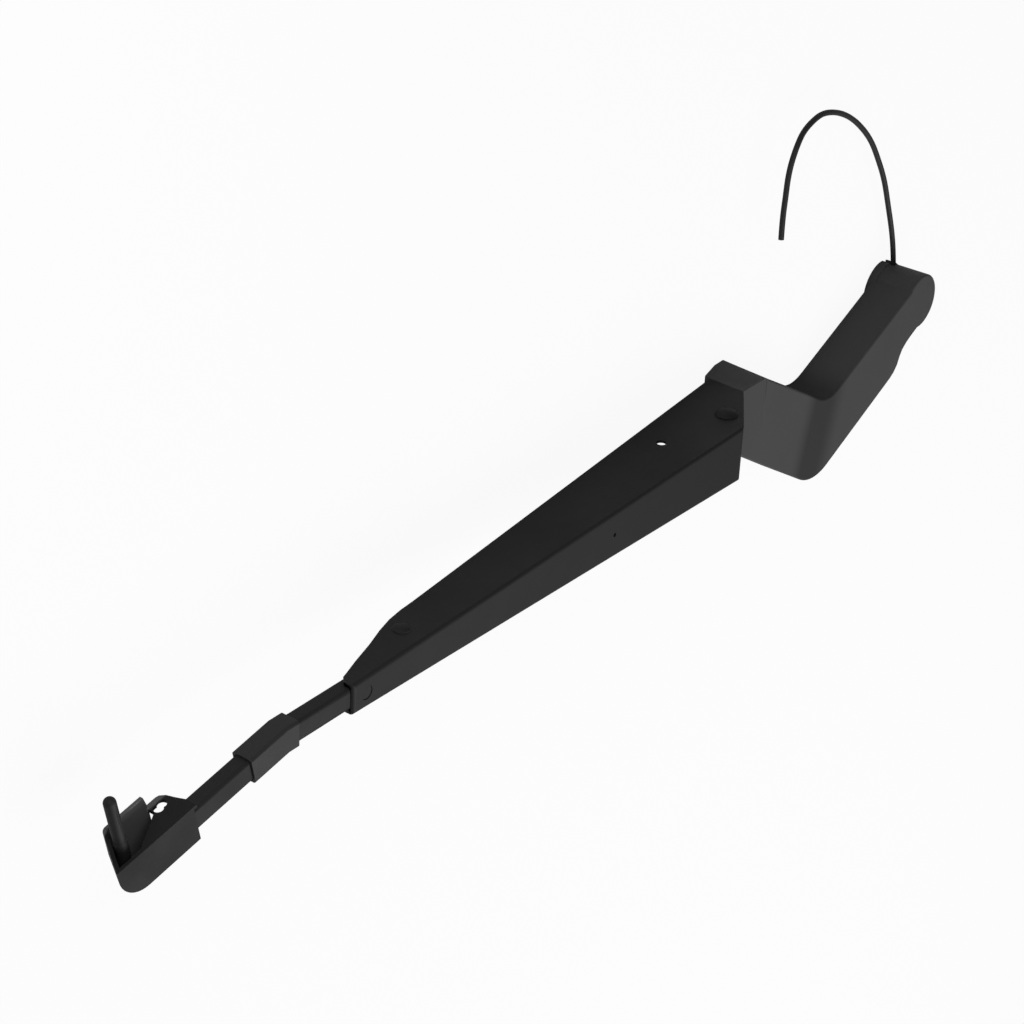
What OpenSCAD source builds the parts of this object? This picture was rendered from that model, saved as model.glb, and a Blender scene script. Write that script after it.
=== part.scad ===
// Wiper arm with a cranked cast head, a folded-sheet channel that lifts on a
// hinge pin, a steel bar and a blade holder with a side pin. Millimetres.
// The origin is on the spindle axis at the underside of the head, +Z points
// away from the glass, and +X runs along the arm towards the blade.

/* [Head] */
// Thickness of the cast head
head_t = 22.7; // [20:0.1:26]
// Radius of the round boss over the spindle
boss_r = 14.3; // [13:0.1:15]
// Distance of the edges of the outer leg from the spindle's line, beside the boss
leg_half = 12.6; // [11:0.1:13]
// Angle of the outer leg of the head to the arm, in degrees
leg_angle = 25.9; // [20:0.1:30]
// Distance from the spindle axis to the inner corner of the crank
leg_len = 86.6; // [80:0.5:95]
// Distance of the far edge of the outer leg from the spindle's line
leg_far = 21.2; // [18:0.1:22]
// Distance of the near edge of the outer leg from the spindle's line, at the crank
leg_near = 14.2; // [13:0.1:17]
// Radius inside the crank
crank_in_r = 20; // [12:1:24]
// Radius outside the crank
crank_out_r = 25; // [12:1:30]
// Angle of the inner leg's far edge to the arm, in degrees
return_angle = 32; // [28:0.5:36]
// Length of the plain side face behind the shoulder
block_len = 18.6; // [14:0.2:22]
// Step down of the ledge in front of the crank
ledge_drop = 1.2; // [0.5:0.1:2.5]
// Height of the collar under the boss
collar_h = 2.5; // [1.5:0.1:4]
// Radius of the collar under the boss
collar_r = 15; // [14.6:0.1:16]

/* [Spindle] */
// Radius of the bore that seats on the spindle
spindle_r = 4; // [3.5:0.1:5]
// Outer radius of the steel insert cast into the boss
insert_r = 7; // [6:0.1:8]
// Length of the steel insert
insert_len = 14; // [12:0.5:16]
// Radius of the snap-in cover over the spindle nut
cover_r = 9.5; // [9:0.1:10]
// Thickness of the nut cover
cover_t = 2; // [1.5:0.1:3]

/* [Hinge] */
// Distance from the spindle axis to the hinge pin along the arm
hinge_x = 186.5; // [182:0.5:192]
// Height of the hinge pin above the underside of the head
hinge_z = 28; // [27:0.1:29]
// Radius of the hinge pin
hinge_pin_r = 3; // [2.5:0.1:3.5]
// Wall of the hinge bushes
bush_wall = 1.2; // [0.8:0.1:1.6]
// Thickness of the bush flanges
bush_flange = 0.6; // [0.4:0.05:0.8]
// Radius of the lug round the hinge pin
lug_r = 7.5; // [6.8:0.1:7.8]
// Width of the tongue of the head
tongue_w = 22.4; // [20:0.2:22.8]
// Radius of the hinge pin's domed heads
dome_r = 5.5; // [4.5:0.1:6]

/* [Channel] */
// Distance of the arm's centre line from the spindle axis
arm_y = 4.5; // [3:0.5:6]
// Length of the top of the channel
web_len = 263.6; // [250:0.2:270]
// Width of the channel at its hinge end
web_w0 = 26.8; // [26.4:0.1:28]
// Width of the channel at its narrow end
web_w1 = 13.5; // [13:0.1:15]
// Height of the channel's top above the underside of the head
web_z = 41; // [40:0.5:42]
// Height of the channel's sides below its top, at the hinge end
side_h0 = 36.3; // [35:0.1:37.5]
// Height of the sides where they start to curve up
side_h1 = 21.1; // [19:0.1:23]
// Thickness of the channel's sheet
sheet_t = 1.5; // [1.2:0.1:1.6]
// Distance from the spindle axis to the hinge end of the channel's top
web_x = 192.2; // [192:0.2:195]
// Radius of the round hole in each side
side_hole_r = 2.2; // [1.6:0.1:2.6]

/* [Bar] */
// Width of the bar
bar_w = 9.6; // [8:0.1:10]
// Height of the bar
bar_h = 7.5; // [7:0.1:8]
// Distance from the narrow end of the channel to the bend
bar_reach = 35.2; // [30:0.2:40]
// Bend of the bar towards the far side, in degrees
bend_angle = 11.8; // [8:0.1:13]
// Length of the bar past the bend
bar_tail = 63; // [58:0.5:66]
// Length of the bar inside the channel
bar_root = 24; // [22:1:26]
// Radius of the rivet that holds the bar
rivet_r = 3; // [2:0.1:3.4]

/* [Nozzle sleeve] */
// Length of the sleeve on the bar
sleeve_len = 25; // [22:0.5:34]
// Wall of the sleeve
sleeve_wall = 1; // [0.8:0.1:1.8]
// Play between the sleeve and the bar
sleeve_play = 0.1; // [0.05:0.05:0.3]

/* [Blade holder] */
// Length of the holder along the bar
holder_len = 38.4; // [34:0.1:42]
// Distance from the bend to the holder
holder_x = 48.9; // [44:0.1:50]
// Width of the holder's top
holder_w = 16; // [14:0.5:18]
// Height between the holder's top and its back plate
holder_h = 15; // [13:0.5:17]
// Reach of the back plate past the top on the near side
plate_reach = 5.8; // [5:0.1:12]
// Thickness of the holder's sheet
holder_t = 1.6; // [1.2:0.1:2]
// Radius of the round corner of the holder's tip
tip_r = 12.4; // [8:0.1:14]
// How far the holder's end wall slopes back, from its top to its back plate
tip_rake = 9.2; // [0:0.1:10]
// Radius of the blade pin
blade_pin_r = 2.38; // [2:0.01:3.2]
// Length of the blade pin outside the holder's top
blade_pin_len = 25; // [20:0.5:28]

/* [Spring] */
// Outer radius of the spring
spring_r = 5.5; // [5:0.1:6]
// Radius of the spring's wire
wire_r = 0.9; // [0.8:0.05:1]
// Distance between the spring's turns
spring_pitch = 3; // [2.6:0.1:3.6]
// Radius of the pin that the spring pulls on in the head
anchor_pin_r = 2.5; // [2:0.1:2.8]
// Radius of the pin that holds the spring in the channel
tail_pin_r = 2; // [1.8:0.1:2.4]
// Thickness of the flat link between the spring and the head
link_t = 3; // [2.4:0.1:3.4]

/* [Washer tube] */
// Outer radius of the washer tube
tube_r = 1.35; // [1:0.05:1.4]

/* [Hidden] */
$fn = 64;
paint = [0.12, 0.12, 0.12];
steel = [0.55, 0.56, 0.58];
plastic = [0.09, 0.09, 0.09];

// Running play of the pins in their bores, and seats of pressed pieces
play = 0.05;
seat = 0.02;
// How far cuts run past the faces that they open
past = 1;

// Outer leg of the head, in its own frame: u along the leg, n to its far side
function leg(u, n) = [
    u * cos(leg_angle) - n * sin(leg_angle),
    u * sin(leg_angle) + n * cos(leg_angle)
];
// A round corner of a plan outline, between the directions in and out
function corner(p, from, to, r, steps = 10) =
    let (
        a = (p - from) / norm(p - from),
        b = (to - p) / norm(to - p),
        turn = atan2(a[0] * b[1] - a[1] * b[0], a[0] * b[0] + a[1] * b[1]),
        cut = r * tan(abs(turn) / 2),
        side = turn > 0 ? 1 : -1,
        start = p - a * cut,
        centre = start + side * r * [-a[1], a[0]]
    )
    [for (i = [0:steps])
        let (t = turn * i / steps, c = start - centre)
        centre + [c[0] * cos(t) - c[1] * sin(t), c[0] * sin(t) + c[1] * cos(t)]];

// Channel, its half width at a distance along the arm
web_end = web_x + web_len;
function half_w(x) = (web_w0 + (web_w1 - web_w0) * (x - web_x) / web_len) / 2;
side_slope = (side_h0 - side_h1) / 203;
ear_x = web_x - 29.4;
function side_z(x) = web_z - side_h0 + (x - web_x) * side_slope;

// Head
ledge_z = head_t - ledge_drop;
ledge_tilt = atan(ledge_drop / (2 * half_w(ear_x)));
block_y = arm_y - half_w(ear_x);
block_x = ear_x - block_len;
inner_corner = leg(leg_len, -leg_near);
far_x = ear_x - 17;
far_y = arm_y + half_w(ear_x) + 15;
far_dir = [cos(return_angle), -sin(return_angle)];
outer_u_dir = leg(1, 0);
far_start = leg(0, leg_far);
far_cross = (far_dir[0] * (far_y - far_start[1]) - far_dir[1] * (far_x - far_start[0]))
    / (far_dir[0] * outer_u_dir[1] - far_dir[1] * outer_u_dir[0]);
outer_corner = far_start + far_cross * outer_u_dir;
shoulder_far = [ear_x, far_y + (ear_x - far_x) * far_dir[1] / far_dir[0]];
neck_u = 21.5;
flare_u = 31;
insert_z = 0;
nut_r = insert_r + 1.6;
cover_z = head_t - cover_t;

// Tongue and spring
anchor = [hinge_x + 2, hinge_z - 10];
tail = [web_end - 41.5, web_z - 11.5];
pull = tail - anchor;
pull_len = norm(pull);
pull_angle = atan2(pull[1], pull[0]);
fold_max = 60;
hinge_to_tail = tail - [hinge_x, hinge_z];
folded = [
    hinge_x + hinge_to_tail[0] * cos(fold_max) - hinge_to_tail[1] * sin(fold_max),
    hinge_z + hinge_to_tail[0] * sin(fold_max) + hinge_to_tail[1] * cos(fold_max)
];
stretch = norm(folded - anchor) - pull_len;
tongue_bottom = 2;
nose_r = anchor_pin_r + 3.4;
bush_r = hinge_pin_r + bush_wall;
slot_w = link_t + 2.2;
eye_r = anchor_pin_r + 2.1;
link_half = 1.5;
link_len = 40;
link_hole_r = wire_r + 0.5;
coil_r = spring_r - wire_r;
front_eye_r = coil_r - 0.5;
coil_start = link_len + 2 * front_eye_r - 1;
loop_r = coil_r;
coil_end = pull_len - tail_pin_r - play - 4;

// Bar, sleeve and blade holder
bar_z = web_z - sheet_t;
bar_bottom = bar_z - bar_h;
bend_x = web_end + bar_reach;
rivet_x = web_end - 8;
sleeve_back = 6;
sleeve_h = sleeve_wall + sleeve_play;
chamber_y = 3.4;
chamber_w = 6;
chamber_h = 2.6;
chamber_len = 14;
chamber_x = 4;
jet_r = 0.5;
holder_top = bar_z + holder_t;
holder_bottom = holder_top - holder_h;
holder_far = holder_w / 2 - 0.6;
holder_near = holder_far - holder_w;
holder_end = holder_x + holder_len;
plate_near = holder_near - plate_reach;
pin_u = holder_end - 9.6;
pin_z = holder_top - 7;
pin_root_r = blade_pin_r + 0.3;
pin_root = -13;

// Washer tube: hand-chosen points of its routes
free_route = [
    [-3, -12.4, 3], [-2, -17, 3], [2, -26, 4], [8, -38, 5], [15, -53, 5], [23, -68, 6], [32, -81, 6],
    [42, -93, 7], [54, -103, 8], [65, -111, 8], [77, -117, 9], [88, -121, 10], [98, -123, 10],
    [107.4, -122, 11], [115, -119, 11], [120.8, -114, 12], [124.4, -107, 12], [126.2, -99, 12],
    [128, -91, 13], [129, -82, 13], [130, -72, 14]
];
head_route = [
    [-3, -12.2, 3], [-1, -9.6, 3], [5, -8.4, 3], [9.6, -3, 3], [14, 4, 3], [30, 13, 3], [60, 28, 3],
    [86, 40, 3], [100, 41, 3], [116, 32, 3], [136, 17, 3], [150, 12.5, 3], [160, 12, 3], [176, 12, 3]
];
bridge_route = [
    [176, 12, 3], [182, 12, 3], [186, 12.2, 3.2], [190, 12.6, 4.2], [194, 13, 5.8],
    [200, 13.6, 8.4], [206, 14, 11]
];
arm_route = [
    [206, 14, 11], [212, 14.4, 13.6], [222, 14.2, 21], [234, 13.8, 28.5], [246, 13.2, 34],
    [258, 12.8, 37.2], [270, 12.6, 38], [330, 11, 38], [390, 9.4, 38], [405, 9, 38],
    [414, 8.9, 36.5], [422, 8.7, 33], [430, 8.3, 30.4], [438, 8.2, 29.6], [460, 8.2, 29.6],
    [484.8, 8.2, 29.6]
];
clip_places = [300, 372];

// A tube swept along a route, closed at both ends, with its rings square to the route
module sweep(route, r, sides = 8) {
    n = len(route);
    up = [0, 0, 1];
    rings = [for (i = [0:n - 1])
        let (
            d = i == 0 ? route[1] - route[0]
                : i == n - 1 ? route[n - 1] - route[n - 2]
                : (route[i + 1] - route[i]) / norm(route[i + 1] - route[i])
                    + (route[i] - route[i - 1]) / norm(route[i] - route[i - 1]),
            t = d / norm(d),
            s = cross(up, t) / norm(cross(up, t)),
            q = cross(t, s)
        )
        [for (k = [0:sides - 1])
            route[i] + r * (s * cos(360 * k / sides) + q * sin(360 * k / sides))]];
    points = [for (ring = rings) each ring];
    walls = [for (i = [0:n - 2], k = [0:sides - 1])
        [i * sides + k, i * sides + (k + 1) % sides,
            (i + 1) * sides + (k + 1) % sides, (i + 1) * sides + k]];
    near_end = [for (k = [0:sides - 1]) sides - 1 - k];
    far_end = [for (k = [0:sides - 1]) (n - 1) * sides + k];
    polyhedron(points, concat(walls, [near_end], [far_end]), convexity = 6);
}

// Points along a smooth curve through a route, so that bends are round
function smooth(route, per = 2) =
    let (n = len(route))
    [for (i = [0:n - 2], j = [0:per - 1])
        let (
            t = j / per,
            a = route[max(i - 1, 0)],
            b = route[i],
            c = route[i + 1],
            d = route[min(i + 2, n - 1)]
        )
        0.5 * (2 * b + (c - a) * t + (2 * a - 5 * b + 4 * c - d) * t * t
            + (3 * b - a - 3 * c + d) * t * t * t),
        route[n - 1]];

// A cylinder along Y, from one side of the arm's centre line to the other
module across(x, z, r, from, to) {
    translate([x, arm_y + to, z]) rotate([90, 0, 0]) cylinder(r = r, h = to - from);
}

// A profile in the XZ plane, made thick along Y
module side_profile(from, to) {
    translate([0, arm_y + to, 0]) rotate([90, 0, 0]) linear_extrude(height = to - from) children();
}

// A low dome, standing up from the XY plane
module dome(r, h) {
    ball = (r * r + h * h) / (2 * h);
    rotate_extrude()
        intersection() {
            translate([0, h - ball]) circle(r = ball, $fn = 96);
            square([r, h]);
        }
}

module head_plan() {
    polygon(concat(
        [leg(-2, leg_half), leg(-2, -leg_half)],
        corner(inner_corner, leg(-2, -leg_half), [block_x, block_y], crank_in_r),
        [[block_x, block_y], [ear_x, block_y], shoulder_far],
        corner(outer_corner, shoulder_far, far_start, crank_out_r),
        [leg(flare_u + 5, leg_far), leg(flare_u + 1, leg_far - 0.6), leg(flare_u - 3, leg_far - 2.4),
            leg(neck_u + 3, leg_half + 3), leg(neck_u, leg_half + 1.2), leg(neck_u - 4, leg_half + 0.3),
            leg(neck_u - 8, leg_half)]
    ));
}

// Flare of the near wall of the inner leg and block, out to the underside
module wall_flare() {
    along = inner_corner - [block_x, block_y];
    dir = along / norm(along);
    out = [dir[1], -dir[0]];
    start = [block_x, block_y];
    top = ledge_z - 0.2;
    rows = [
        [ear_x, block_y + 0.3, ear_x, block_y - 0.8],
        [block_x + 11, block_y + 0.3, block_x + 11, block_y - 3.6],
        [block_x + 2, block_y + 0.3, block_x + 4, block_y - 3.8],
        [start[0] + dir[0] * 3, start[1] + dir[1] * 3 + 0.3, start[0] + dir[0] * 1 + out[0] * 3.2,
            start[1] + dir[1] * 1 + out[1] * 3.2],
        [start[0] + dir[0] * 18, start[1] + dir[1] * 18 + 0.3, start[0] + dir[0] * 16 + out[0] * 3,
            start[1] + dir[1] * 16 + out[1] * 3],
        [start[0] + dir[0] * 40, start[1] + dir[1] * 40 + 0.3, start[0] + dir[0] * 38 + out[0] * 1.5,
            start[1] + dir[1] * 38 + out[1] * 1.5],
        [start[0] + dir[0] * 58, start[1] + dir[1] * 58 + 0.5, start[0] + dir[0] * 58 - out[0] * 0.4,
            start[1] + dir[1] * 58 - out[1] * 0.4]
    ];
    n = len(rows);
    points = concat(
        [for (r = rows) [r[0], r[1], top]],
        [for (r = rows) [r[2], r[3], 0]],
        [for (r = rows) [r[0], r[1] + 4, top]],
        [for (r = rows) [r[0], r[1] + 4, 0]]
    );
    walls = [for (i = [0:n - 2]) each [
        [n + i, i + 1, i], [n + i, n + i + 1, i + 1],
        [i, i + 1, 2 * n + i], [i + 1, 2 * n + i + 1, 2 * n + i],
        [3 * n + i, n + i + 1, n + i], [3 * n + i, 3 * n + i + 1, n + i + 1],
        [2 * n + i + 1, 3 * n + i, 2 * n + i], [3 * n + i + 1, 3 * n + i, 2 * n + i + 1]
    ]];
    ends = [[2 * n, 3 * n, n, 0], [2 * n - 1, 4 * n - 1, 3 * n - 1, n - 1]];
    polyhedron(points, concat(walls, ends), convexity = 4);
}

// Profile of the tongue that reaches between the channel's sides
module tongue_profile() {
    difference() {
        union() {
            translate([hinge_x, hinge_z]) circle(r = lug_r);
            translate(anchor) circle(r = nose_r);
            polygon([
                [ear_x - 3, tongue_bottom], [ear_x - 3, ledge_z - 1], [ear_x + 12, ledge_z - 1],
                [hinge_x - lug_r * 0.7, hinge_z + lug_r * 0.68], [hinge_x + lug_r * 0.9, hinge_z],
                [anchor[0] + nose_r * 0.85, anchor[1]], [anchor[0] + nose_r * 0.4, anchor[1] - nose_r * 0.88],
                [anchor[0] - nose_r, tongue_bottom]
            ]);
        }
        translate([hinge_x, hinge_z]) circle(r = bush_r + seat);
        translate(anchor) circle(r = anchor_pin_r + seat);
    }
}

// Outline of a groove along a route, seen from above, with mitred corners
function groove_outline(route, r) =
    let (
        n = len(route),
        d = [for (i = [0:n - 2]) let (v = route[i + 1] - route[i]) [v[0], v[1]] / norm([v[0], v[1]])],
        mitre = [for (i = [0:n - 1])
            let (a = d[max(i - 1, 0)], b = d[min(i, n - 2)], m = (a + b) / norm(a + b))
            [-m[1], m[0]] * r / (m[0] * a[0] + m[1] * a[1])]
    )
    concat(
        [for (i = [0:n - 1]) [route[i][0], route[i][1]] + mitre[i]],
        [for (i = [n - 1:-1:0]) [route[i][0], route[i][1]] - mitre[i]]
    );

module mounting_head() {
    color(paint)
    difference() {
        union() {
            difference() {
                linear_extrude(height = head_t) head_plan();
                translate([block_x, block_y - past, ledge_z]) rotate([ledge_tilt, 0, 0])
                    cube([block_len + past, 2 * half_w(ear_x) + 2 * past, head_t]);
            }
            cylinder(r = boss_r, h = head_t);
            wall_flare();
            translate([0, 0, -collar_h]) cylinder(r = collar_r, h = collar_h + 2);
            side_profile(-tongue_w / 2, tongue_w / 2) tongue_profile();
        }
        translate([0, 0, -collar_h - past]) cylinder(r = spindle_r + 1.5, h = head_t);
        translate([0, 0, insert_z]) cylinder(r = insert_r + seat, h = head_t);
        translate([0, 0, insert_z + insert_len]) cylinder(r = nut_r, h = head_t);
        translate([0, 0, cover_z]) cylinder(r = cover_r + play, h = head_t);
        translate([anchor[0] - eye_r - 0.8, arm_y - slot_w / 2, -past]) cube([20, slot_w, web_z + past]);
        translate([0, 0, -collar_h - past])
            linear_extrude(height = head_route[0][2] + tube_r + play + collar_h + past)
            polygon(groove_outline(concat([[-1.6, -18, 3]], head_route, [[200, 12, 3]]), tube_r + play));
        translate([bridge_route[0][0] - 1, 10.4, 0]) cube([20, 3.6, 5]);
    }
}

module spindle_insert() {
    color(steel)
    translate([0, 0, insert_z])
    difference() {
        cylinder(r = insert_r, h = insert_len);
        translate([0, 0, -past]) cylinder(r = spindle_r, h = insert_len + 2 * past);
    }
}

module nut_cover() {
    snap_h = 2.4;
    color(plastic) {
        translate([0, 0, cover_z]) cylinder(r = cover_r, h = cover_t);
        translate([0, 0, cover_z - snap_h])
            difference() {
                cylinder(r = nut_r - play, h = snap_h);
                translate([0, 0, -past]) cylinder(r = nut_r - 1.2, h = snap_h + past);
            }
    }
}

module hinge_bush(side) {
    half = tongue_w / 2;
    reach = half - slot_w / 2 - 0.3;
    color(plastic)
    translate([hinge_x, arm_y + side * half, hinge_z])
    rotate([side * 90, 0, 0])
    difference() {
        union() {
            cylinder(r = bush_r, h = reach);
            translate([0, 0, -bush_flange]) cylinder(r = lug_r - 0.4, h = bush_flange);
        }
        translate([0, 0, -bush_flange - past])
            cylinder(r = hinge_pin_r + play, h = reach + bush_flange + 2 * past);
    }
}
module hinge_bush_near() { hinge_bush(-1); }
module hinge_bush_far() { hinge_bush(1); }

module anchor_pin() {
    color(steel) across(anchor[0], anchor[1], anchor_pin_r, -tongue_w / 2, tongue_w / 2);
}

// A pin through both sides of the channel, with a dome on each side
module cross_pin(x, z, r, head_r, head_h) {
    half = half_w(x);
    seated = half + head_r * (web_w0 - web_w1) / web_len / 2 + 0.02;
    across(x, z, r, -seated - 0.4, seated + 0.4);
    for (side = [-1, 1])
        translate([x, arm_y + side * seated, z]) rotate([-side * 90, 0, 0]) dome(head_r, head_h);
}
module hinge_pin() { color(paint) cross_pin(hinge_x, hinge_z, hinge_pin_r, dome_r, 2.4); }
module tail_pin() { color(paint) cross_pin(tail[0], tail[1], tail_pin_r, tail_pin_r + 2, 1.4); }

module channel_plan(inset) {
    x0 = ear_x - past;
    x1 = web_end + past;
    polygon([
        [x0, arm_y - half_w(x0) + inset], [x1, arm_y - half_w(x1) + inset],
        [x1, arm_y + half_w(x1) - inset], [x0, arm_y + half_w(x0) - inset]
    ]);
}

// Side view of the channel: sloping ears, a long taper, and a curve up to the bar
module channel_side() {
    c = web_end - 59.2;
    end_z = bar_bottom + 1;
    polygon([
        [ear_x, side_z(ear_x)], [c, side_z(c)], [c + 8, side_z(c) + 0.4], [c + 16, side_z(c) + 1.5],
        [c + 24, side_z(c) + 3.6], [c + 34, side_z(c) + 7], [c + 46, side_z(c) + 10.4],
        [c + 54, end_z], [web_end - 2.4, end_z + 0.8], [web_end, web_z - 5], [web_end, web_z],
        [web_x, web_z], [ear_x, ledge_z]
    ]);
}

module channel() {
    hole_x = web_x + 34.8;
    color(paint)
    difference() {
        intersection() {
            linear_extrude(height = web_z) channel_plan(0);
            side_profile(-web_w0, web_w0) channel_side();
        }
        translate([0, 0, -past]) linear_extrude(height = web_z - sheet_t + past) channel_plan(sheet_t);
        across(hole_x, web_z - 20.4, side_hole_r, -web_w0, web_w0);
        across(hinge_x, hinge_z, hinge_pin_r + seat, -web_w0, web_w0);
        across(tail[0], tail[1], tail_pin_r + seat, -web_w0, web_w0);
        translate([rivet_x, arm_y, web_z / 2]) cylinder(r = rivet_r + seat, h = web_z);
        translate([web_x + 96.6, arm_y, web_z / 2]) cylinder(r = 0.9, h = web_z);
    }
}

// Section of the bar, with its edges eased
module bar_section(w, h) {
    e = 1;
    polygon([
        [-w / 2 + e, 0], [w / 2 - e, 0], [w / 2, e], [w / 2, h - e],
        [w / 2 - e, h], [-w / 2 + e, h], [-w / 2, h - e], [-w / 2, e]
    ]);
}
module bar_run(from, to, w = bar_w, h = bar_h) {
    translate([from, 0, 0]) rotate([90, 0, 90]) linear_extrude(height = to - from) bar_section(w, h);
}
// Places what is drawn along +X on the leg of the bar past the bend
module past_bend() {
    translate([bend_x, arm_y, 0]) rotate([0, 0, bend_angle]) children();
}

module arm_bar() {
    knee = bar_w / 2 * tan(bend_angle / 2);
    color(paint)
    difference() {
        union() {
            intersection() {
                translate([0, arm_y, bar_bottom]) bar_run(web_end - bar_root, bend_x + bar_w);
                translate([bend_x, arm_y, 0]) rotate([0, 0, bend_angle / 2])
                    translate([-2 * web_len, -web_len, 0]) cube([2 * web_len, 2 * web_len, 2 * web_z]);
            }
            intersection() {
                past_bend() translate([0, 0, bar_bottom]) bar_run(-bar_w, bar_tail);
                translate([bend_x, arm_y, 0]) rotate([0, 0, bend_angle / 2])
                    translate([0, -web_len, 0]) cube([2 * web_len, 2 * web_len, 2 * web_z]);
            }
        }
        translate([rivet_x, arm_y, bar_bottom - past]) cylinder(r = rivet_r + seat, h = bar_h + 2 * past);
    }
}

module bar_rivet() {
    color(paint)
    translate([rivet_x, arm_y, 0]) {
        translate([0, 0, bar_bottom]) cylinder(r = rivet_r, h = web_z - bar_bottom - 0.4);
        translate([0, 0, bar_bottom]) mirror([0, 0, 1]) dome(rivet_r + 1.2, 1.3);
    }
}

module nozzle_sleeve() {
    grow = 2 * (sleeve_wall + sleeve_play);
    low = bar_bottom - sleeve_h;
    front = sleeve_len - sleeve_back;
    color(plastic)
    difference() {
        union() {
            intersection() {
                translate([0, arm_y, low]) bar_run(bend_x - sleeve_back, bend_x + bar_w, bar_w + grow, bar_h + grow);
                translate([bend_x, arm_y, 0]) rotate([0, 0, bend_angle / 2])
                    translate([-2 * web_len, -web_len, 0]) cube([2 * web_len, 2 * web_len, 2 * web_z]);
            }
            intersection() {
                past_bend() translate([0, 0, low]) bar_run(-bar_w, front, bar_w + grow, bar_h + grow);
                translate([bend_x, arm_y, 0]) rotate([0, 0, bend_angle / 2])
                    translate([0, -web_len, 0]) cube([2 * web_len, 2 * web_len, 2 * web_z]);
            }
            translate([bend_x - sleeve_back, arm_y + chamber_y - chamber_w / 2 + 0.4, low - chamber_h + 0.4])
                cube([chamber_len, chamber_w, chamber_h]);
        }
        intersection() {
            translate([0, arm_y, bar_bottom - sleeve_play])
                bar_run(bend_x - 2 * sleeve_len, bend_x + bar_w, bar_w + 2 * sleeve_play, bar_h + 2 * sleeve_play);
            translate([bend_x, arm_y, 0]) rotate([0, 0, bend_angle / 2])
                translate([-2 * web_len, -web_len, 0]) cube([2 * web_len, 2 * web_len, 2 * web_z]);
        }
        intersection() {
            past_bend() translate([0, 0, bar_bottom - sleeve_play])
                bar_run(-bar_w, 2 * sleeve_len, bar_w + 2 * sleeve_play, bar_h + 2 * sleeve_play);
            translate([bend_x, arm_y, 0]) rotate([0, 0, bend_angle / 2])
                translate([0, -web_len, 0]) cube([2 * web_len, 2 * web_len, 2 * web_z]);
        }
        for (x = [chamber_x, chamber_x + 4])
            translate([bend_x - sleeve_back + x, arm_y + chamber_y + 0.4, low - chamber_h - past])
                cylinder(r = jet_r, h = 1.5 + past, $fn = 16);
    }
}

// Outline of the blade holder seen from above, with a round tip
function holder_outline(near, far, start, end, near_r, far_r) = concat(
    [[start, near]],
    corner([end, near], [start, near], [end, far], near_r, 3),
    corner([end, far], [end, near], [start, far], far_r),
    [[start, far]]
);

// The holder's outer form, or the hollow inside it when shrunk by its sheet
module holder_form(shrink, start, near) {
    thin = 0.01;
    low = holder_bottom + shrink;
    high = holder_top - shrink;
    slope = tip_rake / holder_h;
    hull() {
        translate([0, 0, low]) linear_extrude(height = thin)
            polygon(holder_outline(near, holder_far - shrink, start,
                holder_end - tip_rake + slope * shrink - 1.2 * shrink, 1.5, tip_r - 3 - shrink));
        translate([0, 0, high - thin]) linear_extrude(height = thin)
            polygon(holder_outline(near, holder_far - shrink, start,
                holder_end - slope * shrink - 1.2 * shrink, 1.5, tip_r - shrink));
    }
}

module blade_holder() {
    wall_w = holder_near + holder_t;
    back_x = holder_x + 10.3;
    color(paint)
    past_bend()
    difference() {
        union() {
            difference() {
                holder_form(0, holder_x, plate_near);
                holder_form(holder_t, holder_x - past, plate_near - 2 * past);
                // The near edges of top and end wall
                translate([holder_x - past, 0, 0]) rotate([90, 0, 90]) linear_extrude(height = holder_len + 2 * past)
                    polygon([
                        [holder_near, holder_top + past], [holder_near, holder_top - holder_t],
                        [plate_near + 1, holder_bottom + 3], [plate_near - past, holder_bottom + holder_t],
                        [plate_near - past, holder_top + past]
                    ]);
                // The slanted start of the back plate
                translate([0, 0, holder_bottom - past]) linear_extrude(height = holder_t + past)
                    polygon([
                        [holder_x - past, holder_far - holder_t], [holder_x + 9, holder_far - holder_t],
                        [holder_x + 9, holder_near], [back_x, plate_near],
                        [back_x, plate_near - past], [holder_x - past, plate_near - past]
                    ]);
            }
            // Near wall with its arched strap, cut off at a slant towards the tip
            translate([0, wall_w, 0]) rotate([90, 0, 0]) linear_extrude(height = holder_t)
                polygon([
                    [holder_x - 1.6, holder_top], [holder_x - 1.6, holder_top - 4.4],
                    [holder_x, holder_top - 9], [holder_x + 1, holder_top - 12.6],
                    [holder_x + 2.6, holder_bottom + 0.4], [holder_x + 4, holder_bottom],
                    [holder_x + 9.8, holder_bottom], [holder_x + 9.8, holder_top - 10.1],
                    [holder_x + 28.4, holder_top]
                ]);
        }
        translate([pin_u, 0, pin_z]) rotate([-90, 0, 0]) cylinder(r = pin_root_r + seat, h = 4 * holder_w);
        for (hole = [[5, -10.9], [7.4, -10.2]])
            translate([holder_x + hole[0], holder_near - past, holder_top + hole[1]]) rotate([-90, 0, 0])
                cylinder(r = 1.9, h = holder_t + 2 * past);
    }
}

module blade_pin() {
    tip = holder_near - blade_pin_len;
    color(steel)
    past_bend()
    translate([pin_u, 0, pin_z]) {
        translate([0, tip + blade_pin_r, 0]) rotate([-90, 0, 0])
            cylinder(r = blade_pin_r, h = pin_root - tip - blade_pin_r);
        translate([0, tip + blade_pin_r, 0]) sphere(r = blade_pin_r);
        translate([0, pin_root, 0]) rotate([-90, 0, 0])
            cylinder(r1 = blade_pin_r, r2 = pin_root_r, h = 1);
        translate([0, pin_root + 1, 0]) rotate([-90, 0, 0])
            cylinder(r = pin_root_r, h = holder_far - pin_root - 0.7);
        translate([0, holder_far + 0.02, 0]) rotate([-90, 0, 0]) dome(blade_pin_r + 1.4, 1.2);
    }
}

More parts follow.
